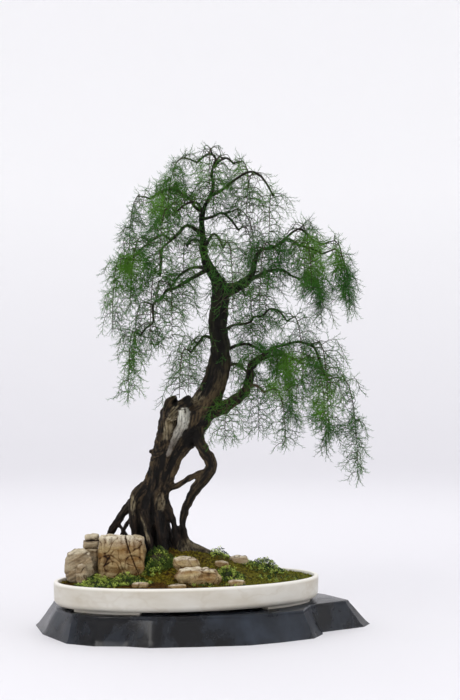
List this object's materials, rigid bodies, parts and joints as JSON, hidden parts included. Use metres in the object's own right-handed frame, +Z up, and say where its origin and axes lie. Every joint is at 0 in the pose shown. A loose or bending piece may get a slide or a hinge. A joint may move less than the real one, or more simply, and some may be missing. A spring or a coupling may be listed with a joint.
{
  "type": "tamarisk bonsai",
  "caption": "Weeping tamarisk bonsai with a twisted, leaning trunk and fine hanging foliage, in a shallow oval marble tray with moss and stones, on a black lacquered stand.",
  "frame": {"origin": "on the surface it stands on, in the stand's underside, below the centre of the tray", "axes": "+Z up, +X along the tray's long axis to the side where the right lobe of the stand and the long low bough reach out, +Y to the back; the picture was taken from the front, 16 degrees to the left of -Y"},
  "size_m": [0.665, 0.446, 0.9597],
  "materials": {
    "lacquer": "black high-gloss lacquer over carved wood",
    "marble": "honed warm white marble with faint veins",
    "moss": "earth under matte brown-olive moss",
    "bark": "rough dark bark with grey weathered deadwood",
    "foliage": "fine matte green branchlets",
    "groundcover": "small satin green leaves",
    "limestone": "rough cream to tan limestone",
    "greystone": "rough grey-brown layered stone"
  },
  "bodies": {
    "root": {"stand": "lacquer", "tray": "marble", "soil": "moss", "trunk": "bark", "boulder_left": "greystone", "block_left": "greystone", "rock_layered": "greystone", "stone_back": "greystone", "rock_big": "limestone", "stone_flat": "limestone", "stone_middle": "limestone", "stone_right": "limestone", "stone_left": "limestone", "stone_pale": "limestone", "stone_front": "limestone", "cover_left": "groundcover", "cover_front": "groundcover", "cover_trunk": "groundcover", "cover_back": "groundcover", "cover_right": "groundcover", "cover_far": "groundcover", "spray_01": "foliage", "spray_02": "foliage", "spray_03": "foliage", "spray_04": "foliage", "spray_05": "foliage", "spray_06": "foliage", "spray_07": "foliage", "spray_08": "foliage", "spray_09": "foliage", "spray_10": "foliage", "spray_11": "foliage", "spray_12": "foliage", "spray_13": "foliage", "spray_14": "foliage", "spray_15": "foliage", "spray_16": "foliage", "spray_17": "foliage", "spray_18": "foliage", "spray_19": "foliage", "spray_20": "foliage", "spray_21": "foliage", "spray_22": "foliage", "spray_23": "foliage", "spray_24": "foliage", "spray_25": "foliage", "spray_26": "foliage", "spray_27": "foliage", "spray_28": "foliage", "spray_29": "foliage", "spray_30": "foliage", "spray_31": "foliage", "spray_32": "foliage", "spray_33": "foliage", "spray_34": "foliage", "spray_35": "foliage", "spray_36": "foliage", "spray_37": "foliage", "spray_38": "foliage", "spray_39": "foliage"}
  },
  "joints": []
}
